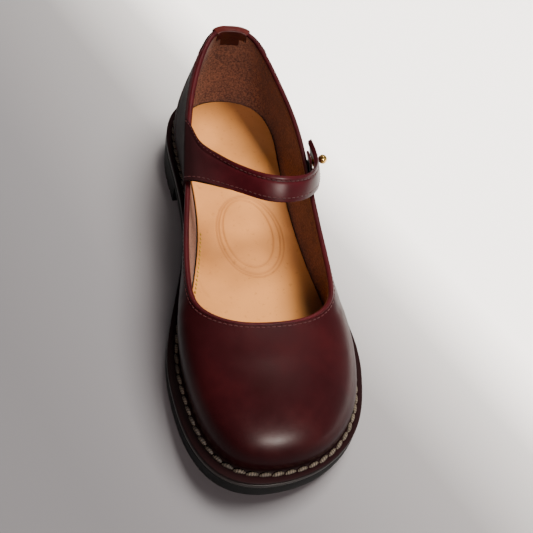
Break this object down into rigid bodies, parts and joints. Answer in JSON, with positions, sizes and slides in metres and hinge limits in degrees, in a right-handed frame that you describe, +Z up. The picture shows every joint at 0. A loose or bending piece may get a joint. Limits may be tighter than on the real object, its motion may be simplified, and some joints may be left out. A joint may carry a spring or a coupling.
{
  "type": "mary jane shoe",
  "caption": "Round-toed leather mary jane with a stitched-down flange, lugged rubber sole and heel, and one instep strap that closes on a brass ball stud.",
  "frame": {"origin": "middle of the heel's tread, on the floor that the shoe stands on", "axes": "+Z up; the toe points to -Y; +X is the lateral side, where the strap closes"},
  "size_m": [0.1051, 0.2701, 0.086],
  "materials": {
    "upper_leather": "smooth waxed oxblood leather, soft sheen",
    "lining_leather": "brown suede lining, napped",
    "midsole_leather": "dark brown leather, waxed cut edge",
    "insole_leather": "natural vegetable-tanned leather, matt",
    "rubber": "dark grey moulded rubber, matt",
    "thread": "waxed linen thread",
    "brass": "polished solid brass"
  },
  "bodies": {
    "root": {"outsole": "rubber", "midsole": "midsole_leather", "insole": "insole_leather", "upper": "upper_leather", "heel_counter": "upper_leather", "quarter_strap": "upper_leather", "stud_tab": "upper_leather", "stud": "brass"}
  },
  "joints": []
}
